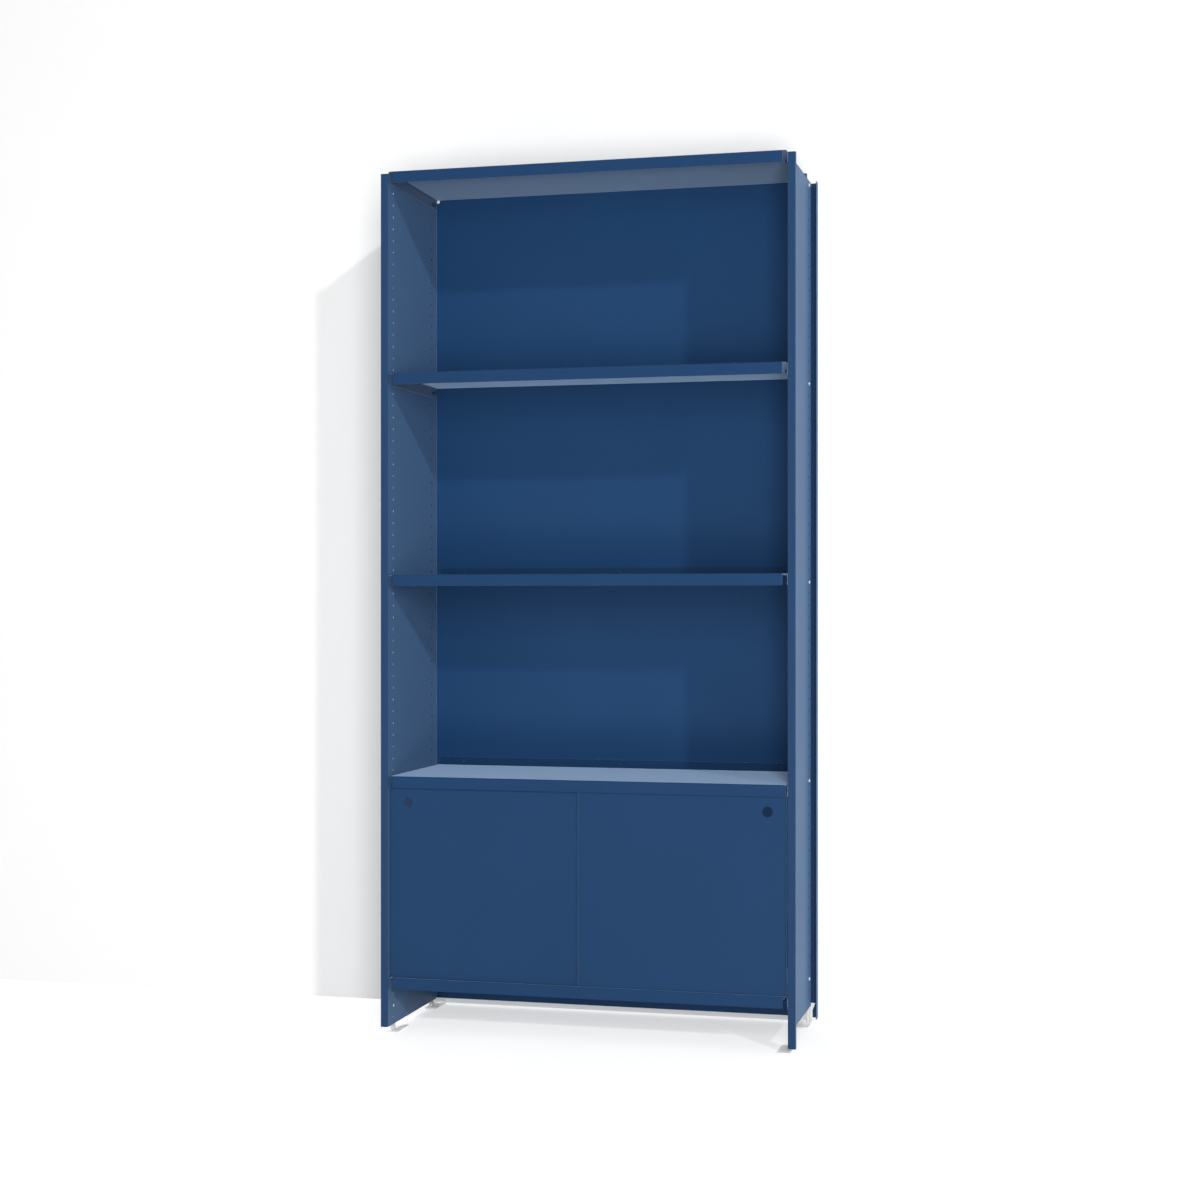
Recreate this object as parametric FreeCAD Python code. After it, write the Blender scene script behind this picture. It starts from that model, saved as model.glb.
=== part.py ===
import FreeCAD, Part
import math
import os

# A free-standing shelving bookcase of folded, powder-coated sheet steel.  Two perforated side
# panels carry five bolted shelves and a full back, and two sheet doors slide in the lowest bay.
# Millimetres.  Z = 0 is the floor, -Y is the front, and X = 0, Y = 0 is the middle of the unit.

# ---- Side panels ----
panel_height = 2016.0
panel_depth = 360.0
inner_width = 952.0        # between the inner faces of the two webs
panel_sheet = 1.2
panel_bend = 1.5           # inner radius of every fold
flange_width = 18.0        # from the web's inner face out to the return lip
front_return = 12.0        # return lips run back along the open side of the channel
rear_return = 28.0
hole_diameter = 6.4
hole_pitch = 28.0
first_hole = 16.0          # above the panel's bottom edge
hole_setback = 40.0        # from the front and rear planes
base_cut_height = 29.0     # the right web stops this far above its bottom edge
base_cut_inner = 5.0       # corner cut of the right rear flange, out from the web
base_cut_outer = 12.0
base_cut_knee = 17.6
base_cut_top = 35.0

# ---- Shelves ----
shelf_sheet = 1.0
shelf_bend = 1.0           # inner radius along the front and the rear
end_bend = 4.0             # inner radius where the deck turns down at its ends
shelf_end_gap = 1.0        # beside each web
lip_height = 27.0
lip_end_notch = 11.0       # the front lip and the rear upstand stop short of the ends
upstand_height = 20.0
deck_above_hole = 17.0     # deck's top above the bolts that carry it
floor_shelf_hole = 3       # the hole that carries the cabinet's floor, counted from 0
cabinet_holes = 17         # pitches from the cabinet's floor to its top
open_bays = 3

# ---- Back ----
back_sheet = 0.8
back_setback = 2.7         # rear face of the back, in from the panels' rear plane
back_side_gap = 0.5
back_bottom_gap = 2.0      # above the panels' bottom edge
back_top_step = 0.5        # below the top of the highest upstand
back_top_corner = 8.4      # both top corners are cut away this far from the webs
back_corner_drop = 3.0     # and down to this far below the panels' top edges
back_base_corner = 20.0    # the right bottom corner is cut away over the web's base cut
rivet_diameter = 4.0
rivet_head_diameter = 8.0
rivet_head_height = 1.3
rivet_tail_diameter = 5.6
rivet_tail_height = 1.4
rivets_per_shelf = 3
rivet_end_distance = 60.0

# ---- Sliding doors and their tracks ----
door_sheet = 1.2
door_bend = 0.8
front_door_setback = 5.5   # from the front plane to the front door's face
door_spacing = 2.5         # from the front door's face to the rear door's face
door_end_gap = 2.3         # beside each web when shut
door_overlap = 26.0
door_deck_gap = 1.0        # under the door's face
door_lift = 6.4            # free height in the upper track, to lift the door out
front_door_fold = 4.2      # depth of the folded edges, face included
rear_door_fold = 12.0
fold_bottom_gap = 1.5      # from the face's lower edge to the start of the folds
fold_top_gap = 4.0         # under the upper track
bend_relief = 2.0
tongue_inset = 8.0
finger_hole_diameter = 25.0
finger_hole_edge = 44.5    # from the door's outer edge
finger_hole_drop = 62.0    # from the cabinet top's deck
track_clearance = 0.3      # beside the door's sheet
track_wall = 1.5
track_base = 1.5
track_end_gap = 0.1
upper_groove = 16.5
lower_groove = 6.0
track_snap = 0.5           # the lower track is this much wider under the deck
slot_clearance = 0.1
slot_end = 8.0             # from the shelf's end to the slot in its deck

# ---- Bolts and threaded inserts ----
bolt_diameter = 5.8
bolt_reach = 10.8          # past the web's inner face
bolt_head_diameter = 10.0
bolt_head_height = 3.5
bolt_head_dome = 1.2
bolt_recess_width = 4.0    # hexagon socket, across its flats
bolt_recess_depth = 1.8
insert_diameter = 8.9
insert_length = 11.6       # its head included
insert_head_diameter = 12.0
insert_bulge_diameter = 11.0
insert_bulge_height = 1.8  # closed up behind the shelf's end
insert_clearance = 0.05    # around the insert and around the bolt in it

# ---- Feet ----
foot_height = 11.0         # floor to the panels' bottom edges
foot_pad_depth = 80.0
foot_pad_inside = 25.0     # in from the web's inner face
foot_pad_height = 3.0
foot_pad_corner = 4.0
foot_wall = 3.0
foot_wall_width = 20.0
foot_wall_edge = 0.8       # pad outside the wall
foot_wall_above_hole = 9.0
foot_hole = 1              # the peg's hole, counted from 0
foot_seat_width = 3.0      # block that carries the web's lower edge, past the web's near face
peg_clearance = 0.1
left_peg_reach = 0.8       # past the web's inner face
right_peg_depth = 0.4      # sunk below the web's outer face

# ---- Places that follow from the sizes ----
web_inner = inner_width / 2
web_outer = web_inner + panel_sheet
front_plane = -panel_depth / 2
rear_plane = panel_depth / 2
panel_bottom = foot_height
hole_columns = (front_plane + hole_setback, rear_plane - hole_setback)
hole_count = int((panel_height - first_hole) / hole_pitch) + 1
if panel_height - first_hole - (hole_count - 1) * hole_pitch < hole_diameter:
    hole_count -= 1

shelf_half = web_inner - shelf_end_gap
lip_half = shelf_half - lip_end_notch
shelf_rear = rear_plane - back_setback - back_sheet
upstand_front = shelf_rear - shelf_sheet

cabinet_top_hole = floor_shelf_hole + cabinet_holes
holes_above = hole_count - 1 - cabinet_top_hole
shelf_holes = {"cabinet_floor_shelf": floor_shelf_hole, "cabinet_top_shelf": cabinet_top_hole}
open_names = ("middle_shelf", "upper_shelf", "top_shelf")
for number, name in enumerate(open_names, start=1):
    shelf_holes[name] = cabinet_top_hole + round(holes_above * number / open_bays)


def hole_level(index):
    return panel_bottom + first_hole + index * hole_pitch


def deck_top(name):
    return hole_level(shelf_holes[name]) + deck_above_hole


floor_deck = deck_top("cabinet_floor_shelf")
cabinet_deck = deck_top("cabinet_top_shelf")
upstand_top = deck_top("top_shelf") + upstand_height

front_door_y = front_plane + front_door_setback
rear_door_y = front_door_y + door_spacing
door_width = (inner_width - 2 * door_end_gap + door_overlap) / 2
door_reach = web_inner - door_end_gap
track_front = front_door_y - track_clearance - track_wall
track_rear = rear_door_y + door_sheet + track_clearance + track_wall
upper_groove_top = cabinet_deck - shelf_sheet - track_base
upper_track_bottom = upper_groove_top - upper_groove
door_bottom = floor_deck + door_deck_gap
door_top = upper_groove_top - door_lift
tongue_bottom = floor_deck - lower_groove + track_clearance


# ---- Helpers ----
def block(x_range, y_range, z_range):
    size = [high - low for low, high in (x_range, y_range, z_range)]
    corner = FreeCAD.Vector(x_range[0], y_range[0], z_range[0])
    return Part.makeBox(size[0], size[1], size[2], corner)


def rod(diameter, start, direction, length):
    return Part.makeCylinder(diameter / 2, length, FreeCAD.Vector(*start), FreeCAD.Vector(*direction))


def fuse(pieces):
    return pieces[0].fuse(list(pieces[1:])).removeSplitter()


def cut(body, tools):
    return body.cut(Part.makeCompound(tools))


def mirror_x(shape):
    return shape.mirror(FreeCAD.Vector(0, 0, 0), FreeCAD.Vector(1, 0, 0))


def mirror_y(shape):
    return shape.mirror(FreeCAD.Vector(0, 0, 0), FreeCAD.Vector(0, 1, 0))


def strip_side(path, offset, bend_radius, place):
    """Edges of one side of a folded strip, offset to the left of its middle line."""
    edges = []
    here = None
    for index in range(len(path) - 1):
        start = FreeCAD.Vector(*path[index], 0)
        end = FreeCAD.Vector(*path[index + 1], 0)
        along = (end - start).normalize()
        left = FreeCAD.Vector(-along.y, along.x, 0)
        if here is None:
            here = start + left * offset
        if index == len(path) - 2:
            edges.append(Part.LineSegment(place(here), place(end + left * offset)).toShape())
            continue
        onward = (FreeCAD.Vector(*path[index + 2], 0) - end).normalize()
        turn = math.copysign(1, along.cross(onward).z)
        half_turn = along.getAngle(onward) / 2
        back_off = bend_radius * math.tan(half_turn)
        arc_start = end - along * back_off + left * offset
        next_left = FreeCAD.Vector(-onward.y, onward.x, 0)
        arc_end = end + onward * back_off + next_left * offset
        centre = end - along * back_off + left * turn * bend_radius
        outwards = (end - centre).normalize()
        arc_middle = centre + outwards * (bend_radius - turn * offset)
        edges.append(Part.LineSegment(place(here), place(arc_start)).toShape())
        edges.append(Part.Arc(place(arc_start), place(arc_middle), place(arc_end)).toShape())
        here = arc_end
    return edges


def strip_end(path_end, path_next, half_sheet, place):
    end = FreeCAD.Vector(*path_end, 0)
    along = (FreeCAD.Vector(*path_next, 0) - end).normalize()
    left = FreeCAD.Vector(-along.y, along.x, 0)
    return Part.LineSegment(place(end + left * half_sheet), place(end - left * half_sheet)).toShape()


def folded_strip(path, sheet, inner_radius, place, length):
    """A folded sheet: path is its middle line in a plane, place puts that plane in space."""
    middle_radius = inner_radius + sheet / 2
    edges = strip_side(path, sheet / 2, middle_radius, place)
    edges += strip_side(path, -sheet / 2, middle_radius, place)
    edges.append(strip_end(path[0], path[1], sheet / 2, place))
    edges.append(strip_end(path[-1], path[-2], sheet / 2, place))
    outline = Part.Wire(Part.__sortEdges__(edges))
    return Part.Face(outline).extrude(length)


# ---- Side panels ----
def side_panel():
    """Left panel: a perforated web with flanges and return lips on its outer side."""
    half = panel_sheet / 2
    web = -web_inner - half
    lip = -web_inner - flange_width + half
    path = [
        (lip, front_plane + front_return),
        (lip, front_plane + half),
        (web, front_plane + half),
        (web, rear_plane - half),
        (lip, rear_plane - half),
        (lip, rear_plane - rear_return),
    ]
    panel = folded_strip(
        path, panel_sheet, panel_bend,
        lambda p: FreeCAD.Vector(p.x, p.y, panel_bottom),
        FreeCAD.Vector(0, 0, panel_height),
    )
    holes = []
    for y in hole_columns:
        for index in range(hole_count):
            start = (-web_outer - panel_sheet, y, hole_level(index))
            holes.append(rod(hole_diameter, start, (1, 0, 0), 3 * panel_sheet))
    return cut(panel, holes)


def right_base_cut():
    """Tools that shorten the right web and take the corner off its rear flange."""
    below = panel_bottom - panel_sheet
    inside = web_inner - panel_sheet
    behind_front_fold = front_plane + panel_sheet + panel_bend
    past_rear = rear_plane + panel_sheet
    web_cut = block(
        (inside, web_inner + base_cut_inner),
        (behind_front_fold, past_rear),
        (below, panel_bottom + base_cut_height),
    )
    corners = [
        (inside, below),
        (web_inner + base_cut_inner, below),
        (web_inner + base_cut_inner, panel_bottom + base_cut_knee),
        (web_inner + base_cut_outer, panel_bottom + base_cut_top),
        (inside, panel_bottom + base_cut_top),
        (inside, below),
    ]
    flange_start = rear_plane - panel_sheet - panel_bend
    outline = Part.makePolygon([FreeCAD.Vector(x, flange_start, z) for x, z in corners])
    flange_cut = Part.Face(outline).extrude(FreeCAD.Vector(0, past_rear - flange_start, 0))
    return [web_cut, flange_cut]


# ---- Shelves ----
def shelf(name):
    """A tray of one sheet: deck, ends turned down, front lip down and rear upstand up."""
    top = deck_top(name)
    half = shelf_sheet / 2
    outer_bend = shelf_bend + shelf_sheet
    ends_path = [
        (-shelf_half + half, top - lip_height),
        (-shelf_half + half, top - half),
        (shelf_half - half, top - half),
        (shelf_half - half, top - lip_height),
    ]
    ends_front = front_plane + outer_bend
    ends = folded_strip(
        ends_path, shelf_sheet, end_bend,
        lambda p: FreeCAD.Vector(p.x, ends_front, p.y),
        FreeCAD.Vector(0, shelf_rear - outer_bend - ends_front, 0),
    )
    length_path = [
        (front_plane + half, top - lip_height),
        (front_plane + half, top - half),
        (shelf_rear - half, top - half),
        (shelf_rear - half, top + upstand_height),
    ]
    length = folded_strip(
        length_path, shelf_sheet, shelf_bend,
        lambda p: FreeCAD.Vector(-lip_half, p.x, p.y),
        FreeCAD.Vector(2 * lip_half, 0, 0),
    )
    holes = []
    for y in hole_columns:
        start = (-shelf_half - half, y, hole_level(shelf_holes[name]))
        insert_hole = insert_diameter + 2 * insert_clearance
        holes.append(rod(insert_hole, start, (1, 0, 0), 2 * shelf_half + shelf_sheet))
    for x in rivet_places():
        start = (x, upstand_front - half, rivet_level(name))
        holes.append(rod(rivet_diameter, start, (0, 1, 0), 2 * shelf_sheet))
    return cut(fuse([ends, length]), holes)


def floor_slot():
    """The long slot in the cabinet floor's deck that the lower track drops into."""
    reach = shelf_half - slot_end
    return block(
        (-reach, reach),
        (track_front - slot_clearance, track_rear + slot_clearance),
        (floor_deck - 2 * shelf_sheet, floor_deck + shelf_sheet),
    )


# ---- Back ----
def rivet_places():
    reach = lip_half - rivet_end_distance
    step = 2 * reach / (rivets_per_shelf - 1)
    return [-reach + step * number for number in range(rivets_per_shelf)]


def rivet_level(name):
    return deck_top(name) + upstand_height / 2


def back_corners():
    """Tools for the back's notches: both top corners, and the one over the right base cut."""
    past = web_outer
    through = (shelf_rear - back_sheet, shelf_rear + 2 * back_sheet)
    top = (panel_bottom + panel_height - back_corner_drop, upstand_top + back_sheet)
    base = (panel_bottom, panel_bottom + base_cut_height)
    top_left = block((-past, -web_inner + back_top_corner), through, top)
    base_right = block((web_inner - back_base_corner, past), through, base)
    return [top_left, mirror_x(top_left), base_right]


def back_panel():
    half_width = web_inner - back_side_gap
    sheet = block(
        (-half_width, half_width),
        (shelf_rear, shelf_rear + back_sheet),
        (panel_bottom + back_bottom_gap, upstand_top - back_top_step),
    )
    holes = []
    for name in shelf_holes:
        for x in rivet_places():
            start = (x, upstand_front, rivet_level(name))
            holes.append(rod(rivet_diameter, start, (0, 1, 0), 3 * shelf_sheet))
    return cut(sheet, holes + back_corners())


def back_rivets():
    """Blind rivets: low head behind the back, set tail in front of the upstand."""
    rivets = []
    for name in shelf_holes:
        for x in rivet_places():
            tail_start = (x, upstand_front - rivet_tail_height, rivet_level(name))
            grip = shelf_sheet + back_sheet
            shank = rod(rivet_diameter, tail_start, (0, 1, 0), rivet_tail_height + grip)
            tail = rod(rivet_tail_diameter, tail_start, (0, 1, 0), rivet_tail_height)
            head_start = (x, shelf_rear + back_sheet, rivet_level(name))
            head = rod(rivet_head_diameter, head_start, (0, 1, 0), rivet_head_height)
            rivets.append(fuse([shank, tail, head]))
    return Part.makeCompound(rivets)


# ---- Doors and tracks ----
def door(outer_edge, inner_edge, face_y, fold_depth, fold_side):
    """A sheet door with folded side edges and a tongue along its foot."""
    low, high = sorted((outer_edge, inner_edge))
    half = door_sheet / 2
    middle = face_y + half
    fold_end = face_y + fold_depth if fold_side > 0 else face_y + door_sheet - fold_depth
    path = [
        (low + half, fold_end),
        (low + half, middle),
        (high - half, middle),
        (high - half, fold_end),
    ]
    fold_bottom = door_bottom + fold_bottom_gap
    folded = folded_strip(
        path, door_sheet, door_bend,
        lambda p: FreeCAD.Vector(p.x, p.y, fold_bottom),
        FreeCAD.Vector(0, 0, upper_track_bottom - fold_top_gap - fold_bottom),
    )
    thickness = (face_y, face_y + door_sheet)
    plate = block((low + bend_relief, high - bend_relief), thickness, (door_bottom, door_top))
    tongue = block(
        (low + tongue_inset, high - tongue_inset), thickness, (tongue_bottom, door_bottom)
    )
    inward = math.copysign(1, inner_edge - outer_edge)
    hole_x = outer_edge + inward * finger_hole_edge
    hole_start = (hole_x, face_y - rear_door_fold, cabinet_deck - finger_hole_drop)
    hole = rod(finger_hole_diameter, hole_start, (0, 1, 0), 2 * rear_door_fold)
    return cut(fuse([folded, plate, tongue]), [hole])


def groove(face_y, reach, z_range):
    return block(
        (-reach, reach), (face_y - track_clearance, face_y + door_sheet + track_clearance), z_range
    )


def upper_track():
    """Twin channel bonded under the cabinet top, behind its lip."""
    reach = shelf_half - shelf_sheet - end_bend
    body = block(
        (-reach, reach), (track_front, track_rear), (upper_track_bottom, cabinet_deck - shelf_sheet)
    )
    open_range = (upper_track_bottom - track_base, upper_groove_top)
    past_ends = reach + track_wall
    return cut(body, [groove(y, past_ends, open_range) for y in (front_door_y, rear_door_y)])


def lower_track():
    """Twin-groove glide snapped into the slot of the cabinet floor, flush with its deck."""
    reach = shelf_half - slot_end - track_end_gap
    bottom = floor_deck - lower_groove - track_base
    neck = block((-reach, reach), (track_front, track_rear), (bottom, floor_deck))
    body = block(
        (-reach, reach),
        (track_front - track_snap, track_rear + track_snap),
        (bottom, floor_deck - shelf_sheet),
    )
    open_range = (floor_deck - lower_groove, floor_deck + track_base)
    past_ends = reach + track_wall
    grooves = [groove(y, past_ends, open_range) for y in (front_door_y, rear_door_y)]
    return cut(fuse([neck, body]), grooves)


# ---- Bolts and threaded inserts ----
def hexagon(width, centre, depth):
    """A hexagonal prism along +X, with a corner at its top."""
    radius = width / math.sqrt(3)
    corners = []
    for number in range(7):
        angle = math.radians(60 * number)
        y = centre[1] + radius * math.sin(angle)
        z = centre[2] + radius * math.cos(angle)
        corners.append(FreeCAD.Vector(centre[0], y, z))
    return Part.Face(Part.makePolygon(corners)).extrude(FreeCAD.Vector(depth, 0, 0))


def left_bolt(y, z):
    """Socket-head bolt through the left web from outside."""
    head_end = -web_outer - bolt_head_height
    dome_edge = -web_outer - bolt_head_height + bolt_head_dome
    skirt = rod(bolt_head_diameter, (dome_edge, y, z), (1, 0, 0), -web_outer - dome_edge)
    dome = Part.makeCone(
        bolt_head_diameter / 2 - bolt_head_dome, bolt_head_diameter / 2, bolt_head_dome,
        FreeCAD.Vector(head_end, y, z), FreeCAD.Vector(1, 0, 0),
    )
    shank_length = web_outer - web_inner + bolt_reach
    shank = rod(bolt_diameter, (-web_outer, y, z), (1, 0, 0), shank_length)
    socket = hexagon(bolt_recess_width, (head_end, y, z), bolt_recess_depth)
    return cut(fuse([skirt, dome, shank]), [socket])


def left_insert(y, z):
    """Threaded insert set in the shelf's end: head outside, bulge and long body inside."""
    head = rod(insert_head_diameter, (-web_inner, y, z), (1, 0, 0), shelf_end_gap)
    body = rod(insert_diameter, (-web_inner, y, z), (1, 0, 0), insert_length)
    bulge_start = (-shelf_half + shelf_sheet, y, z)
    bulge = rod(insert_bulge_diameter, bulge_start, (1, 0, 0), insert_bulge_height)
    bore_start = (-web_outer, y, z)
    bore = rod(bolt_diameter + 2 * insert_clearance, bore_start, (1, 0, 0), 2 * insert_length)
    return cut(fuse([head, body, bulge]), [bore])


def both_ends(make, z):
    """The same fastener in both hole columns of both webs."""
    left = [make(y, z) for y in hole_columns]
    right = [mirror_x(piece) for piece in left]
    return Part.makeCompound(left + right)


# ---- Feet ----
def foot(wall, seat, peg, edge_height):
    """Front left foot: pad, wall beside the web, seat under its edge and peg in its hole."""
    pad = block(
        (-web_outer - foot_wall - foot_wall_edge, -web_inner + foot_pad_inside),
        (front_plane, front_plane + foot_pad_depth),
        (0, foot_pad_height),
    )
    upright_edges = [
        edge for edge in pad.Edges
        if abs(edge.Vertexes[0].Z - edge.Vertexes[1].Z) > foot_pad_height / 2
    ]
    pad = pad.makeFillet(foot_pad_corner, upright_edges)
    y = hole_columns[0]
    width = (y - foot_wall_width / 2, y + foot_wall_width / 2)
    peg_level = hole_level(foot_hole)
    peg_diameter = hole_diameter - 2 * peg_clearance
    return fuse([
        pad,
        block(wall, width, (0, peg_level + foot_wall_above_hole)),
        block(seat, width, (0, edge_height)),
        rod(peg_diameter, (peg[0], y, peg_level), (1, 0, 0), peg[1] - peg[0]),
    ])


def left_foot():
    """Its wall stands outside the web."""
    outside = -web_outer - foot_wall
    wall = (outside, -web_outer)
    seat = (outside, -web_outer + foot_seat_width)
    peg = (outside, -web_inner + left_peg_reach)
    return foot(wall, seat, peg, panel_bottom)


def right_foot():
    """Its wall stands inside the web, and its taller seat carries the shortened web."""
    inside = -web_inner + foot_wall
    wall = (-web_inner, inside)
    seat = (-web_inner - foot_seat_width, inside)
    peg = (-web_outer + right_peg_depth, inside)
    return mirror_x(foot(wall, seat, peg, panel_bottom + base_cut_height))


# ---- Build ----
def build_nodes():
    nodes = {}
    left_panel = side_panel()
    nodes["left_side_panel"] = left_panel
    nodes["right_side_panel"] = cut(mirror_x(left_panel), right_base_cut())
    for name, index in shelf_holes.items():
        nodes[name] = shelf(name)
        nodes[name + "_bolts"] = both_ends(left_bolt, hole_level(index))
        nodes[name + "_inserts"] = both_ends(left_insert, hole_level(index))
    nodes["cabinet_floor_shelf"] = cut(nodes["cabinet_floor_shelf"], [floor_slot()])
    nodes["back_panel"] = back_panel()
    nodes["back_rivets"] = back_rivets()
    nodes["upper_door_track"] = upper_track()
    nodes["lower_door_track"] = lower_track()
    nodes["left_door"] = door(-door_reach, -door_reach + door_width, rear_door_y, rear_door_fold, 1)
    nodes["right_door"] = door(door_reach, door_reach - door_width, front_door_y, front_door_fold, -1)
    nodes["front_left_foot"] = left_foot()
    nodes["front_right_foot"] = right_foot()
    nodes["rear_left_foot"] = mirror_y(nodes["front_left_foot"])
    nodes["rear_right_foot"] = mirror_y(nodes["front_right_foot"])
    return nodes


os.makedirs("parts", exist_ok=True)
for name, shape in build_nodes().items():
    shape.exportStep("parts/" + name + ".step")
    box = shape.BoundBox
    print(name, len(shape.Solids), "solids", shape.isValid(), round(shape.Volume), "mm3",
          [round(value, 1) for value in (box.XMin, box.XMax, box.YMin, box.YMax, box.ZMin, box.ZMax)])
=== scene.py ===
# %% [markdown]
# # A steel bookcase with two sliding doors
#
# The bookcase is folded from thin sheet steel and powder-coated in dark blue: two side panels
# full of small holes, five shelves bolted between them, a full back, and two sheet doors that
# slide in the lowest bay.  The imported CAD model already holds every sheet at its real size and
# place, so this lesson is about looks: the coating, the fasteners, the feet, light and camera.
#
# Lengths are in metres, as everywhere in Blender.  Small ones are written in millimetres.

import math

import bmesh
import bpy
from mathutils import Matrix, Vector


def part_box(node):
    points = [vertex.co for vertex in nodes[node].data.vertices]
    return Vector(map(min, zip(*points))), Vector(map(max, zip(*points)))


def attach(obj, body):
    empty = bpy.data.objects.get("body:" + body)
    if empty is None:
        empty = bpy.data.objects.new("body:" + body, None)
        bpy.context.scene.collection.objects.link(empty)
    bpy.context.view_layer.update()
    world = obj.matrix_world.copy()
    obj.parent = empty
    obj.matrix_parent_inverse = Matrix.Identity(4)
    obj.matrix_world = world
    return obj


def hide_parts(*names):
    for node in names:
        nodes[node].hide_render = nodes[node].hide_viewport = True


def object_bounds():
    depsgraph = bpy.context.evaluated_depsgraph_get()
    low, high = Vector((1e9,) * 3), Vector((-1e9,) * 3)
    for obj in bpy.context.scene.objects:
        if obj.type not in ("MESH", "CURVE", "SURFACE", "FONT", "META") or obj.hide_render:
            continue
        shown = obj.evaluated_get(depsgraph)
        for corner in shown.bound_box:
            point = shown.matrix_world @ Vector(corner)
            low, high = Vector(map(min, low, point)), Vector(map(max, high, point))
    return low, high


MM = 0.001
QUARTER_TURN = math.radians(90)

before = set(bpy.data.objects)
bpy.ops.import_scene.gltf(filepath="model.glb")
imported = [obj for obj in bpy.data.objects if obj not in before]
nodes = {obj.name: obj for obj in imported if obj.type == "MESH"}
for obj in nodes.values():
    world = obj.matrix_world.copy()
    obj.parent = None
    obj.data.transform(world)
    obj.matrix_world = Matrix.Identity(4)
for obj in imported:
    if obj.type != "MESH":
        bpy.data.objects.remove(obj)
cad_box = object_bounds()
print("CAD box, metres:", [round(side, 4) for side in cad_box[1] - cad_box[0]])

# %% [markdown]
# ## Camera
#
# Tall furniture is best shown with a level camera, because uprights then stay parallel.  The
# camera stands at half the unit's height, well to its right, and turns back towards it.  Its
# focal length is written in pixels of the square frame, which are easy to measure by, and the
# width of the sensor turns it into millimetres.

# %% Place the camera
FRAME_SIDE_IN_PIXELS = 1200
FOCAL_LENGTH_IN_PIXELS = 2012
SENSOR_WIDTH = 36.0
CAMERA_PLACE = (1.176, -4.664, 1.020)
CAMERA_TURN = math.radians(14.2)

camera_data = bpy.data.cameras.new("catalogue_camera")
camera_data.sensor_width = SENSOR_WIDTH
camera_data.lens = SENSOR_WIDTH * FOCAL_LENGTH_IN_PIXELS / FRAME_SIDE_IN_PIXELS
camera = bpy.data.objects.new("catalogue_camera", camera_data)
camera.location = CAMERA_PLACE
camera.rotation_euler = (QUARTER_TURN, 0, CAMERA_TURN)
bpy.context.scene.collection.objects.link(camera)
bpy.context.scene.camera = camera
print("Lens:", round(camera_data.lens, 2), "mm")

# %% [markdown]
# ## Light
#
# Five sources light the unit.  A small key stands high on the right and draws the slanting
# shadows inside the bays.  A large panel in front fills them, so that the back of a deep
# shelf is nearly as light as the doors.  It stands near enough to reach the inside of the left
# panel better than the outside of the right one.  A weak source from below does what a pale
# floor does in a studio, and shows the undersides.  Another behind shows the back to whoever
# walks round the unit.  The world adds the rest from all around.  Three of them are sun lamps,
# which have a direction and a width, and no place.

# %% Light the studio
KEY_TOWARDS = (0.866, -1.0, 0.58)
KEY_STRENGTH = 0.96
KEY_WIDTH = math.radians(2.5)
FILL_PLACE = (1.2, -4.0, 1.5)
FILL_AIM = (-0.28, 1.0, -0.12)
FILL_SIZE = (1.0, 2.0)
FILL_WATTS = 99.0
BOUNCE_TOWARDS = (0.2, -1.0, -0.28)
BOUNCE_STRENGTH = 0.6
BOUNCE_WIDTH = math.radians(15)
REAR_TOWARDS = (-0.5, 1.0, 0.45)
REAR_STRENGTH = 1.4
REAR_WIDTH = math.radians(30)


def add_sun(name, towards, strength, width):
    """A sun lamp that is seen in the given direction from the unit."""
    lamp = bpy.data.lights.new(name, "SUN")
    lamp.energy = strength
    lamp.angle = width
    sun = bpy.data.objects.new(name, lamp)
    sun.rotation_euler = (-Vector(towards)).to_track_quat("-Z", "Y").to_euler()
    bpy.context.scene.collection.objects.link(sun)


def add_panel(name, place, aim, size, watts):
    """A flat rectangle of light that is never seen itself, straight or by way of gloss."""
    lamp = bpy.data.lights.new(name, "AREA")
    lamp.shape = "RECTANGLE"
    lamp.size, lamp.size_y = size
    lamp.energy = watts
    panel = bpy.data.objects.new(name, lamp)
    panel.location = place
    panel.rotation_euler = Vector(aim).to_track_quat("-Z", "Y").to_euler()
    panel.visible_camera = False
    panel.visible_glossy = False
    bpy.context.scene.collection.objects.link(panel)


add_sun("key_light", KEY_TOWARDS, KEY_STRENGTH, KEY_WIDTH)
add_panel("fill_light", FILL_PLACE, FILL_AIM, FILL_SIZE, FILL_WATTS)
add_sun("floor_bounce", BOUNCE_TOWARDS, BOUNCE_STRENGTH, BOUNCE_WIDTH)
add_sun("rear_light", REAR_TOWARDS, REAR_STRENGTH, REAR_WIDTH)
print("The fill panel stands", FILL_PLACE[2], "m high")

# %% [markdown]
# A closed cabinet is dark inside, and its two finger holes would look like black spots.  A
# faint panel of light behind the doors lifts the inside.  Its place comes from the cabinet's
# own pieces: halfway up between the two shelves, close behind the rear door.

# %% Lift the inside of the cabinet
CABINET_LIGHT_WATTS = 2.0
CABINET_LIGHT_SIZE = (0.85, 0.4)
CABINET_LIGHT_GAP = 5.0 * MM
TO_THE_BACK = (0, 1, 0)

cabinet_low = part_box("cabinet_floor_shelf")[1].z
cabinet_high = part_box("cabinet_top_shelf")[0].z
behind_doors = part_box("left_door")[1].y + CABINET_LIGHT_GAP
cabinet_middle = (0, behind_doors, (cabinet_low + cabinet_high) / 2)
add_panel("cabinet_light", cabinet_middle, TO_THE_BACK, CABINET_LIGHT_SIZE, CABINET_LIGHT_WATTS)
print("The cabinet's panel hangs", round(cabinet_middle[2], 3), "m high")

# %% [markdown]
# The world is a plain grey for the light that it gives, and white for everything that looks
# straight at it.  The Light Path node tells the two apart: camera rays see the backdrop, and
# glossy and transmitted rays are ways of seeing it too.  The floor and the wall need the same
# test, so it becomes a small function.

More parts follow.
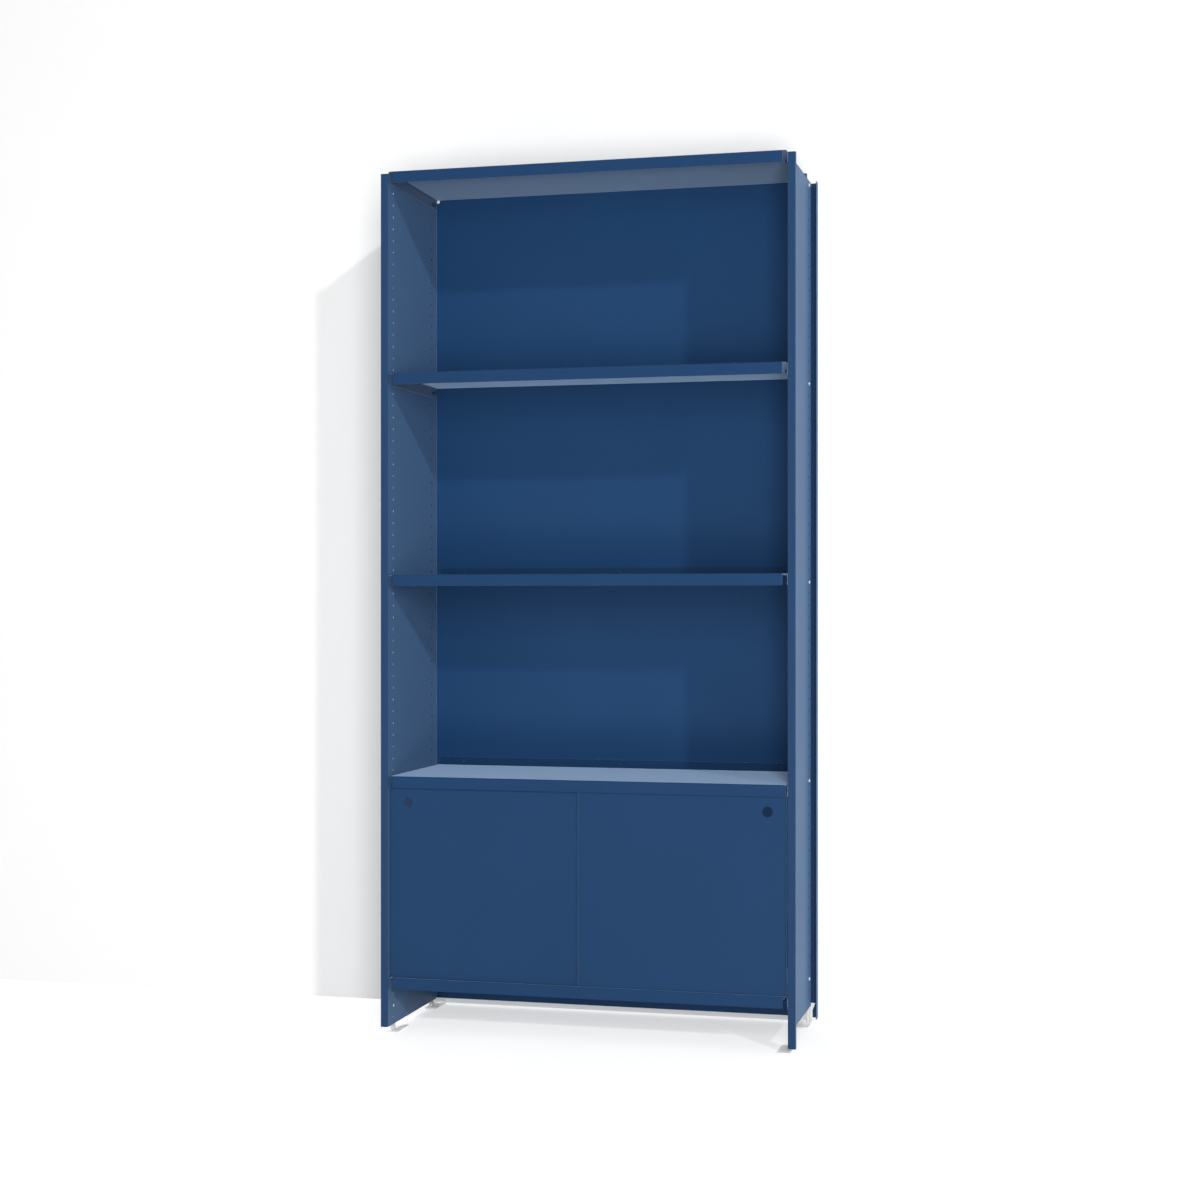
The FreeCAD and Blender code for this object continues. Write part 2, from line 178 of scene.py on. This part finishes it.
# %% Make the white surroundings
AMBIENT_STRENGTH = 0.24
WHITE_STRENGTH = 1.0
WHITE = (1, 1, 1, 1)


def add_looking_rays(tree):
    """1 for a ray that looks at a surface, straight or by way of gloss or glass, else 0."""
    paths = tree.nodes.new("ShaderNodeLightPath")
    result = paths.outputs["Is Camera Ray"]
    for kind in ("Is Glossy Ray", "Is Transmission Ray"):
        either = tree.nodes.new("ShaderNodeMath")
        either.operation = "MAXIMUM"
        tree.links.new(result, either.inputs[0])
        tree.links.new(paths.outputs[kind], either.inputs[1])
        result = either.outputs[0]
    return result


world = bpy.data.worlds.new("white_studio")
bpy.context.scene.world = world
world.use_nodes = True
world_tree = world.node_tree
world_strength = world_tree.nodes.new("ShaderNodeMapRange")
world_strength.inputs["To Min"].default_value = AMBIENT_STRENGTH
world_strength.inputs["To Max"].default_value = WHITE_STRENGTH
world_tree.links.new(add_looking_rays(world_tree), world_strength.inputs["Value"])
background = world_tree.nodes["Background"]
background.inputs["Color"].default_value = WHITE
world_tree.links.new(world_strength.outputs["Result"], background.inputs["Strength"])
bpy.context.scene.view_settings.view_transform = "Standard"
print("Ambient light:", AMBIENT_STRENGTH, "and white seen at", WHITE_STRENGTH)

# %% [markdown]
# ## Floor and wall
#
# The unit stands on a pale floor against a pale wall, and both are nothing but a place for its
# soft shadow.  They are painted white, and they glow a little for whatever looks at them, so
# that they melt into the white surroundings where nothing shades them.  A Mix Shader can make
# the back of a sheet clear, which the wall needs and the floor doesn't.

# %% Mix the white of the floor and the wall
STAGE_COLOUR = (0.85, 0.85, 0.85, 1)
STAGE_ROUGHNESS = 0.9
STAGE_SPECULAR = 0.1


def stage_material(name, glow_level, clear_back):
    """White paint that glows for looking rays, on a sheet whose back may be clear."""
    material = bpy.data.materials.new(name)
    material.use_nodes = True
    tree = material.node_tree
    shader = tree.nodes["Principled BSDF"]
    shader.inputs["Base Color"].default_value = STAGE_COLOUR
    shader.inputs["Roughness"].default_value = STAGE_ROUGHNESS
    shader.inputs["Specular IOR Level"].default_value = STAGE_SPECULAR
    glow_strength = tree.nodes.new("ShaderNodeMath")
    glow_strength.operation = "MULTIPLY"
    glow_strength.inputs[1].default_value = glow_level
    tree.links.new(add_looking_rays(tree), glow_strength.inputs[0])
    glow = tree.nodes.new("ShaderNodeEmission")
    tree.links.new(glow_strength.outputs[0], glow.inputs["Strength"])
    lit = tree.nodes.new("ShaderNodeAddShader")
    tree.links.new(shader.outputs[0], lit.inputs[0])
    tree.links.new(glow.outputs[0], lit.inputs[1])
    surface = lit.outputs[0]
    if clear_back:
        side = tree.nodes.new("ShaderNodeNewGeometry")
        clear = tree.nodes.new("ShaderNodeBsdfTransparent")
        front_or_back = tree.nodes.new("ShaderNodeMixShader")
        tree.links.new(side.outputs["Backfacing"], front_or_back.inputs["Fac"])
        tree.links.new(surface, front_or_back.inputs[1])
        tree.links.new(clear.outputs[0], front_or_back.inputs[2])
        surface = front_or_back.outputs[0]
    tree.links.new(surface, tree.nodes["Material Output"].inputs["Surface"])
    return material


FLOOR_GLOW = 0.58
WALL_GLOW = 0.085

floor_white = stage_material("floor_white", FLOOR_GLOW, clear_back=False)
wall_white = stage_material("wall_white", WALL_GLOW, clear_back=True)
print("Glow of the floor and the wall:", FLOOR_GLOW, WALL_GLOW)

# %% [markdown]
# Each plane is one large square.  The floor takes shadows but casts none, so the light from
# below comes through it.  The wall must not get in the way of the other views: only camera rays
# meet it, and its back is clear.

# %% Lay the floor and stand the wall
STAGE_REACH = 30.0
WALL_GAP = 4.0 * MM


def add_stage_plane(name, place, material):
    shape = bmesh.new()
    bmesh.ops.create_grid(shape, x_segments=1, y_segments=1, size=STAGE_REACH, matrix=place)
    mesh = bpy.data.meshes.new(name)
    shape.to_mesh(mesh)
    shape.free()
    mesh.materials.append(material)
    plane = bpy.data.objects.new(name, mesh)
    bpy.context.scene.collection.objects.link(plane)
    return plane


floor = add_stage_plane("studio_floor", Matrix.Identity(4), floor_white)
floor.visible_shadow = False

wall_line = cad_box[1].y + WALL_GAP
wall_place = Matrix.Translation((0, wall_line, STAGE_REACH))
wall_turn = Matrix.Rotation(QUARTER_TURN, 4, "X")
wall = add_stage_plane("studio_wall", wall_place @ wall_turn, wall_white)
wall.visible_diffuse = False
wall.visible_glossy = False
wall.visible_transmission = False
wall.visible_shadow = False
print("The wall stands at y =", round(wall_line, 4))

# %% [markdown]
# ## The parts of a finish
#
# No real surface is the same all over.  Every finish below starts from a noise, a cloudy
# pattern in space, and turns it into a spread of values, a blend of two colours or a height
# for a bump.  A noise seldom strays far from its middle, so only that part of it is read.

# %% Build the parts of a finish
CLOUD_LOW = 0.3
CLOUD_HIGH = 0.7


def new_finish(name):
    material = bpy.data.materials.new(name)
    material.use_nodes = True
    return material, material.node_tree, material.node_tree.nodes["Principled BSDF"]


def add_noise(tree, grain_size, detail=2.0):
    """A cloudy pattern in space, with grains of the given size in metres."""
    place = tree.nodes.new("ShaderNodeTexCoord")
    pattern = tree.nodes.new("ShaderNodeTexNoise")
    pattern.inputs["Scale"].default_value = 1 / grain_size
    pattern.inputs["Detail"].default_value = detail
    tree.links.new(place.outputs["Object"], pattern.inputs["Vector"])
    return pattern.outputs["Fac"]


def add_range(tree, value, low, high):
    """Spread a cloudy value over the range from low to high."""
    spread = tree.nodes.new("ShaderNodeMapRange")
    spread.inputs["From Min"].default_value = CLOUD_LOW
    spread.inputs["From Max"].default_value = CLOUD_HIGH
    spread.inputs["To Min"].default_value = low
    spread.inputs["To Max"].default_value = high
    tree.links.new(value, spread.inputs["Value"])
    return spread.outputs["Result"]


def add_blend(tree, value, dark, light):
    """Blend two colours by a cloudy value."""
    ramp = tree.nodes.new("ShaderNodeValToRGB")
    first, last = ramp.color_ramp.elements
    first.position, first.color = CLOUD_LOW, dark
    last.position, last.color = CLOUD_HIGH, light
    tree.links.new(value, ramp.inputs["Fac"])
    return ramp.outputs["Color"]


def add_bump(tree, shader, height, depth):
    """Let a shader's surface rise and fall with a cloudy value, to a depth in metres."""
    bump = tree.nodes.new("ShaderNodeBump")
    bump.inputs["Strength"].default_value = 1
    bump.inputs["Distance"].default_value = depth
    tree.links.new(height, bump.inputs["Height"])
    tree.links.new(bump.outputs["Normal"], shader.inputs["Normal"])


print("Noises are read from", CLOUD_LOW, "to", CLOUD_HIGH)

# %% [markdown]
# ## Powder coat
#
# Powder coat is a baked skin of paint, a tenth of a millimetre thick.  Close up it has the
# fine dimples called orange peel; from further off its gloss drifts a little, because no
# spray gun lays it evenly.  At a shallow angle it turns pale.  One Principled shader carries
# all of this: a wide noise for gloss and colour, a fine one for the dimples, and a sheen.
#
# The whole unit wears one paint, and the four coats are lighter and darker copies of it, as
# painted light and shade.  The lamps reach the deep back less than the doors, and light bounces
# between the panels, so each coat's tone is painted to even that out.  The shelves are met at the
# shallowest angle, so theirs is the strongest sheen, which the back shares.

# %% Mix the powder coat
COAT_DARK = (0.0122, 0.0496, 0.1345, 1)
COAT_LIGHT = (0.0129, 0.0526, 0.1425, 1)
COAT_DRIFT_SIZE = 220.0 * MM
COAT_DULL = 0.5
COAT_GLOSSY = 0.44
COAT_SPECULAR = 0.12
PEEL_SIZE = 2.4 * MM
PEEL_DEPTH = 0.02 * MM


def toned(colour, painted_light_tone):
    """A colour made lighter or darker, without its hue changing."""
    return [painted_light_tone * part for part in colour[:3]] + [1]


def powder_coat(name, painted_light_tone, sheen, sheen_spread, sheen_tint):
    # The tone makes a lighter or darker copy of the one paint, which stands in for light and
    # shade.
    material, tree, shader = new_finish(name)
    drift = add_noise(tree, COAT_DRIFT_SIZE, detail=3.0)
    colour = add_blend(tree, drift, toned(COAT_DARK, painted_light_tone), toned(COAT_LIGHT, painted_light_tone))
    tree.links.new(colour, shader.inputs["Base Color"])
    tree.links.new(add_range(tree, drift, COAT_DULL, COAT_GLOSSY), shader.inputs["Roughness"])
    shader.inputs["Specular IOR Level"].default_value = COAT_SPECULAR
    shader.inputs["Sheen Weight"].default_value = sheen
    shader.inputs["Sheen Roughness"].default_value = sheen_spread
    shader.inputs["Sheen Tint"].default_value = sheen_tint
    add_bump(tree, shader, add_noise(tree, PEEL_SIZE), PEEL_DEPTH)
    return material


# Each sheen is a weight, a roughness and a tint.
PANEL_SHEEN = 0.37, 0.63, (0.3, 0.55, 0.96, 1)
SHELF_SHEEN = 1.0, 0.3, (0.48, 0.68, 0.96, 1)
DOOR_SHEEN = 0.6, 0.4, (0.47, 0.7, 1.0, 1)
# These tones are painted light and shade: the deep back is painted lightest, the panels darkest.
PANEL_PAINTED_LIGHT_TONE = 0.66
SHELF_PAINTED_LIGHT_TONE = 0.76
BACK_PAINTED_LIGHT_TONE = 1.0
DOOR_PAINTED_LIGHT_TONE = 0.76

panel_coat = powder_coat("panel_coat", PANEL_PAINTED_LIGHT_TONE, *PANEL_SHEEN)
shelf_coat = powder_coat("shelf_coat", SHELF_PAINTED_LIGHT_TONE, *SHELF_SHEEN)
back_coat = powder_coat("back_coat", BACK_PAINTED_LIGHT_TONE, *SHELF_SHEEN)
door_coat = powder_coat("door_coat", DOOR_PAINTED_LIGHT_TONE, *DOOR_SHEEN)
print("Powder coats:", panel_coat.name, shelf_coat.name, back_coat.name, door_coat.name)

# %% [markdown]
# The sheets keep the shape that they have in the frame, and only change their paint.  The two
# door tracks are plastic in the colour of the paint, so they wear the doors' coat.  Threaded
# inserts are set before a shelf is coated, and come out blue as well.

# %% Coat the sheets
SHELVES = ["cabinet_floor_shelf", "cabinet_top_shelf", "middle_shelf", "upper_shelf", "top_shelf"]


def paint(node_names, material):
    for name in node_names:
        mesh = nodes[name].data
        mesh.materials.clear()
        mesh.materials.append(material)
    print(material.name, "goes on", len(node_names), "nodes")


paint(["left_side_panel", "right_side_panel"], panel_coat)
paint(SHELVES, shelf_coat)
paint(["back_panel", "back_rivets"], back_coat)
paint(["left_door", "right_door"], door_coat)
paint(["upper_door_track", "lower_door_track"], door_coat)
paint([name + "_inserts" for name in SHELVES], shelf_coat)

# %% [markdown]
# ## Zinc and plastic
#
# The bolts are plated with bright zinc, a metal skin with a fine grain and faint clouds.  The
# feet are moulded in pale plastic, which lets some light in, so its shaded side stays pale.  A
# little transmission does that in the shader, and a sheen makes it paler at a shallow angle.

# %% Finish the metal and the plastic
ZINC_DARK = (0.62, 0.65, 0.7, 1)
ZINC_LIGHT = (0.78, 0.81, 0.86, 1)
ZINC_ROUGHNESS = 0.24, 0.36
ZINC_CLOUD_SIZE = 2.0 * MM
ZINC_GRAIN_SIZE = 0.4 * MM
ZINC_GRAIN_DEPTH = 0.01 * MM
PLASTIC_DARK = (0.80, 0.80, 0.79, 1)
PLASTIC_LIGHT = (0.85, 0.85, 0.83, 1)
PLASTIC_ROUGHNESS = 0.45, 0.6
PLASTIC_SHEEN = 1.0
PLASTIC_SHEEN_SPREAD = 0.4
PLASTIC_TRANSMISSION = 0.4
PLASTIC_CLOUD_SIZE = 20.0 * MM
PLASTIC_GRAIN_SIZE = 0.6 * MM
PLASTIC_GRAIN_DEPTH = 0.03 * MM


def zinc_plate(name):
    material, tree, shader = new_finish(name)
    cloud = add_noise(tree, ZINC_CLOUD_SIZE, detail=3.0)
    tree.links.new(add_blend(tree, cloud, ZINC_DARK, ZINC_LIGHT), shader.inputs["Base Color"])
    tree.links.new(add_range(tree, cloud, *ZINC_ROUGHNESS), shader.inputs["Roughness"])
    shader.inputs["Metallic"].default_value = 1
    add_bump(tree, shader, add_noise(tree, ZINC_GRAIN_SIZE), ZINC_GRAIN_DEPTH)
    return material


def moulded_plastic(name):
    material, tree, shader = new_finish(name)
    cloud = add_noise(tree, PLASTIC_CLOUD_SIZE, detail=3.0)
    colour = add_blend(tree, cloud, PLASTIC_DARK, PLASTIC_LIGHT)
    tree.links.new(colour, shader.inputs["Base Color"])
    tree.links.new(add_range(tree, cloud, *PLASTIC_ROUGHNESS), shader.inputs["Roughness"])
    shader.inputs["Sheen Weight"].default_value = PLASTIC_SHEEN
    shader.inputs["Sheen Roughness"].default_value = PLASTIC_SHEEN_SPREAD
    shader.inputs["Transmission Weight"].default_value = PLASTIC_TRANSMISSION
    add_bump(tree, shader, add_noise(tree, PLASTIC_GRAIN_SIZE), PLASTIC_GRAIN_DEPTH)
    return material


FEET = [end + side + "_foot" for end in ("front_", "rear_") for side in ("left", "right")]

zinc = zinc_plate("bright_zinc")
foot_plastic = moulded_plastic("pale_plastic")
paint([name + "_bolts" for name in SHELVES], zinc)
paint(FEET, foot_plastic)

# %% [markdown]
# ## Turned pieces
#
# Bolts, threaded inserts and rivets are all turned: one half outline, swept round an axis.
# The outline is a list of places along the axis, each with its radius.  The steel rounds off
# at every corner, and so does the outline, with a small curve instead of a sharp point.

# %% Turn an outline about an axis
TURN_STEPS = 32
ROUNDING_STEPS = 4
POLE_WITHIN = 1e-7


def rounded(outline, radius):
    """Replace each inner corner of an outline by a small curve that stays inside it."""
    points = [Vector(point) for point in outline]
    smooth = [points[0]]
    for before, corner, after in zip(points, points[1:], points[2:]):
        back = before - corner
        onward = after - corner
        start = corner + back.normalized() * min(radius, back.length / 2)
        end = corner + onward.normalized() * min(radius, onward.length / 2)
        for step in range(ROUNDING_STEPS + 1):
            part = step / ROUNDING_STEPS
            smooth.append(start.lerp(corner, part).lerp(corner.lerp(end, part), part))
    return smooth + [points[-1]]


def turn(shape, outline, place):
    """Spin an outline of (along, radius) points about the X axis, then put it in its place."""
    verts = [shape.verts.new((along, 0, radius)) for along, radius in outline]
    edges = [shape.edges.new(pair) for pair in zip(verts, verts[1:])]
    bmesh.ops.spin(
        shape, geom=verts + edges, cent=(0, 0, 0), axis=(1, 0, 0), angle=2 * math.pi,
        steps=TURN_STEPS, use_merge=True,
    )
    bmesh.ops.remove_doubles(shape, verts=shape.verts, dist=POLE_WITHIN)
    bmesh.ops.transform(shape, matrix=place, verts=shape.verts)


print("A full turn takes", TURN_STEPS, "steps, and a rounded corner", ROUNDING_STEPS)

# %% [markdown]
# The fasteners of one shelf are several closed solids in one mesh.  Each is made by itself and
# then added to the others.  The last steps are the same for every new piece: its faces turn
# outwards, its gentle turns are shaded smooth, and it rides in place of its CAD node.

# %% Gather and finish a piece
SMOOTH_BELOW = math.radians(35)


def add_solid(shape, solid):
    """Add one bmesh to another, by way of a mesh that is then thrown away."""
    carrier = bpy.data.meshes.new("carrier")
    solid.to_mesh(carrier)
    solid.free()
    shape.from_mesh(carrier)
    bpy.data.meshes.remove(carrier)


def finish_piece(name, shape, material, node_name):
    """Make a shape an object that rides the frame in place of a CAD node."""
    bmesh.ops.recalc_face_normals(shape, faces=shape.faces)
    mesh = bpy.data.meshes.new(name)
    shape.to_mesh(mesh)
    shape.free()
    mesh.materials.append(material)
    mesh.shade_smooth()
    mesh.set_sharp_from_angle(angle=SMOOTH_BELOW)
    piece = bpy.data.objects.new(name, mesh)
    bpy.context.scene.collection.objects.link(piece)
    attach(piece, "frame")
    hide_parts(node_name)
    print(name, len(mesh.polygons), "faces")


print("Faces stay sharp where they meet at over", round(math.degrees(SMOOTH_BELOW)), "degrees")

# %% [markdown]
# ## Bolts
#
# Each shelf hangs on four socket-head bolts, two through each web.  The head is a low dome
# with a hexagon socket for a key.  The dome, its rim and the plain shank come from one turned
# outline; the socket is a hexagon set into the open top and joined to the round by a bridge.

# %% Shape a bolt
WEB_SHEET = 1.2 * MM
HEAD_HEIGHT = 3.5 * MM
HEAD_DOME = 1.4 * MM
HEAD_FLAT_RADIUS = 3.1 * MM
SHOULDER_DROP = 0.25 * HEAD_DOME
SHANK_RADIUS = 2.9 * MM
BOLT_REACH = 10.8 * MM
BOLT_ROUNDING = 0.5 * MM
SOCKET_WIDTH = 4.0 * MM
SOCKET_CORNER = SOCKET_WIDTH / math.sqrt(3)
SOCKET_DEPTH = 1.8 * MM


def bolt_outline(head_radius):
    shoulder_radius = (HEAD_FLAT_RADIUS + head_radius) / 2
    return rounded([
        (HEAD_HEIGHT, HEAD_FLAT_RADIUS),
        (HEAD_HEIGHT - SHOULDER_DROP, shoulder_radius),
        (HEAD_HEIGHT - HEAD_DOME, head_radius),
        (0, head_radius),
        (0, SHANK_RADIUS),
        (-WEB_SHEET - BOLT_REACH, SHANK_RADIUS),
        (-WEB_SHEET - BOLT_REACH, 0),
    ], BOLT_ROUNDING)


def add_hexagon(shape, along):
    """The outline of the socket, at a place along the bolt's axis."""
    corners = []
    for number in range(6):
        angle = math.radians(60 * number)
        place = (along, SOCKET_CORNER * math.sin(angle), SOCKET_CORNER * math.cos(angle))
        corners.append(shape.verts.new(place))
    edges = [shape.edges.new((corners[number - 1], corners[number])) for number in range(6)]
    return corners, edges


def add_bolt(shape, head_radius, place):
    bolt = bmesh.new()
    turn(bolt, bolt_outline(head_radius), Matrix.Identity(4))
    rim = [edge for edge in bolt.edges if edge.is_boundary]
    _, mouth_edges = add_hexagon(bolt, HEAD_HEIGHT)
    bmesh.ops.bridge_loops(bolt, edges=rim + mouth_edges)
    bottom, bottom_edges = add_hexagon(bolt, HEAD_HEIGHT - SOCKET_DEPTH)
    bmesh.ops.bridge_loops(bolt, edges=mouth_edges + bottom_edges)
    bolt.faces.new(bottom)
    bmesh.ops.transform(bolt, matrix=place, verts=bolt.verts)
    add_solid(shape, bolt)


print("The socket is", round(2 * SOCKET_CORNER / MM, 2), "mm wide from corner to corner")

# %% [markdown]
# The frame says where the bolts are.  Their box gives the radius of a head, and the place of
# the rear column of holes.  The front column mirrors it, and so does the other web.

# %% Make the bolts
web_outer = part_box("right_side_panel")[0].x + WEB_SHEET
web_inner = web_outer - WEB_SHEET


def both_sides(x, y, z):
    """Places at both webs and both hole columns, with +X turned outwards at each."""
    places = []
    for side in (-1, 1):
        for column in (-1, 1):
            outwards = Matrix.Rotation(math.pi if side < 0 else 0, 4, "Z")
            places.append(Matrix.Translation((side * x, column * y, z)) @ outwards)
    return places


bolt_places = {}
for name in SHELVES:
    low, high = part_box(name + "_bolts")
    head_radius = (high.z - low.z) / 2
    bolt_places[name] = (high.y - head_radius, (high.z + low.z) / 2)
    shape = bmesh.new()
    for place in both_sides(web_outer, *bolt_places[name]):
        add_bolt(shape, head_radius, place)
    finish_piece(name + "_socket_bolts", shape, zinc, name + "_bolts")

# %% [markdown]
# ## Threaded inserts
#
# The bolts turn into threaded inserts that were set in the shelves' ends before painting.  An
# insert has a flat head outside, a bulge that grips the sheet from inside, and a long body
# with the thread.  Its closed outline turns into a ring.

# %% Make the inserts
INSERT_LENGTH = 11.6 * MM
INSERT_RADIUS = 4.5 * MM
INSERT_BORE_RADIUS = 2.95 * MM
INSERT_BORE_BEVEL = 0.1 * MM
INSERT_HEAD_RADIUS = 6.0 * MM
INSERT_HEAD_HEIGHT = 1.0 * MM
INSERT_ROUNDING = 0.4 * MM
SHELF_SHEET = 1.0 * MM
BULGE_RADIUS = 5.5 * MM
BULGE_HEIGHT = 1.8 * MM

bulge_start = -INSERT_HEAD_HEIGHT - SHELF_SHEET
bulge_end = bulge_start - BULGE_HEIGHT
insert_outline = rounded([
    (0, INSERT_BORE_RADIUS + INSERT_BORE_BEVEL),
    (0, INSERT_HEAD_RADIUS),
    (-INSERT_HEAD_HEIGHT, INSERT_HEAD_RADIUS),
    (-INSERT_HEAD_HEIGHT, INSERT_RADIUS),
    (bulge_start, INSERT_RADIUS),
    (bulge_start, BULGE_RADIUS),
    (bulge_end, BULGE_RADIUS),
    (bulge_end, INSERT_RADIUS),
    (-INSERT_LENGTH, INSERT_RADIUS),
    (-INSERT_LENGTH, INSERT_BORE_RADIUS),
    (-INSERT_BORE_BEVEL, INSERT_BORE_RADIUS),
    (0, INSERT_BORE_RADIUS + INSERT_BORE_BEVEL),
], INSERT_ROUNDING)

for name in SHELVES:
    shape = bmesh.new()
    for place in both_sides(web_inner, *bolt_places[name]):
        insert = bmesh.new()
        turn(insert, insert_outline, place)
        add_solid(shape, insert)
    finish_piece(name + "_threaded_inserts", shape, shelf_coat, name + "_inserts")

# %% [markdown]
# ## Blind rivets
#
# The back is riveted to the upstand of every shelf.  A blind rivet shows a low dome behind,
# with the end of its broken pin sunk in the middle, and a squeezed collar in front.  It is
# turned like the bolts, from the pin's hollow over the dome, through both sheets, to the tail.

# %% Make the rivets
RIVET_HEAD_HEIGHT = 1.3 * MM
RIVET_TAIL_HEIGHT = 1.4 * MM
RIVET_TAIL_RADIUS = 2.8 * MM
RIVET_SHANK_RADIUS = 2.0 * MM
RIVET_PIN_RADIUS = 1.1 * MM
RIVET_PIN_DEPTH = 0.5 * MM
RIVET_ROUNDING = 0.3 * MM
RIVETS_PER_SHELF = 3
UPSTAND_HEIGHT = 20.0 * MM

# The dome's two corners: how far down the head's height, and how far out along its radius.
UPPER_DOME = 0.15, 0.5
LOWER_DOME = 0.5, 0.85

low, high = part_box("back_rivets")
rivet_head_radius = (high.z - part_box("top_shelf")[1].z) + UPSTAND_HEIGHT / 2
rivet_length = high.y - low.y
dome_edge = rivet_length - RIVET_HEAD_HEIGHT
dome = [
    (rivet_length - down * RIVET_HEAD_HEIGHT, out * rivet_head_radius)
    for down, out in (UPPER_DOME, LOWER_DOME)
]
rivet_outline = rounded([
    (rivet_length - RIVET_PIN_DEPTH, 0),
    (rivet_length - RIVET_PIN_DEPTH, RIVET_PIN_RADIUS),
    (rivet_length, RIVET_PIN_RADIUS),
    *dome,
    (dome_edge, rivet_head_radius),
    (dome_edge, RIVET_SHANK_RADIUS),
    (RIVET_TAIL_HEIGHT, RIVET_SHANK_RADIUS),
    (RIVET_TAIL_HEIGHT, RIVET_TAIL_RADIUS),
    (0, RIVET_TAIL_RADIUS),
    (0, 0),
], RIVET_ROUNDING)

backwards = Matrix.Rotation(QUARTER_TURN, 4, "Z")
last_rivet = high.x - rivet_head_radius
shape = bmesh.new()
for name in SHELVES:
    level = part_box(name)[1].z - UPSTAND_HEIGHT / 2
    for number in range(RIVETS_PER_SHELF):
        along = last_rivet * (2 * number / (RIVETS_PER_SHELF - 1) - 1)
        rivet = bmesh.new()
        turn(rivet, rivet_outline, Matrix.Translation((along, low.y, level)) @ backwards)
        add_solid(shape, rivet)
finish_piece("back_blind_rivets", shape, back_coat, "back_rivets")

# %% [markdown]
# ## Feet
#
# A moulded foot has no sharp edge, because plastic can't fill one and a mould can't release
# it.  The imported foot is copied, its loose triangles are merged and its flat faces made whole
# again, and then every edge that turns by more than half a right angle gets a small bevel.

# %% Round the feet
FOOT_EDGE = 0.5 * MM
FOOT_EDGE_STEPS = 2
LOOSE_WITHIN = 1e-6
FLAT_WITHIN = math.radians(1)
SHARP_ABOVE = math.radians(45)


def moulded_foot(node_name):
    shape = bmesh.new()
    shape.from_mesh(nodes[node_name].data)
    bmesh.ops.remove_doubles(shape, verts=shape.verts, dist=LOOSE_WITHIN)
    bmesh.ops.dissolve_limit(
        shape, angle_limit=FLAT_WITHIN, verts=shape.verts, edges=shape.edges,
    )
    sharp = [edge for edge in shape.edges if edge.calc_face_angle(0) > SHARP_ABOVE]
    bmesh.ops.bevel(
        shape, geom=sharp, offset=FOOT_EDGE, segments=FOOT_EDGE_STEPS, affect="EDGES",
        profile=0.5, material=-1, clamp_overlap=True,
    )
    finish_piece(node_name + "_moulded", shape, foot_plastic, node_name)


for node_name in FEET:
    moulded_foot(node_name)
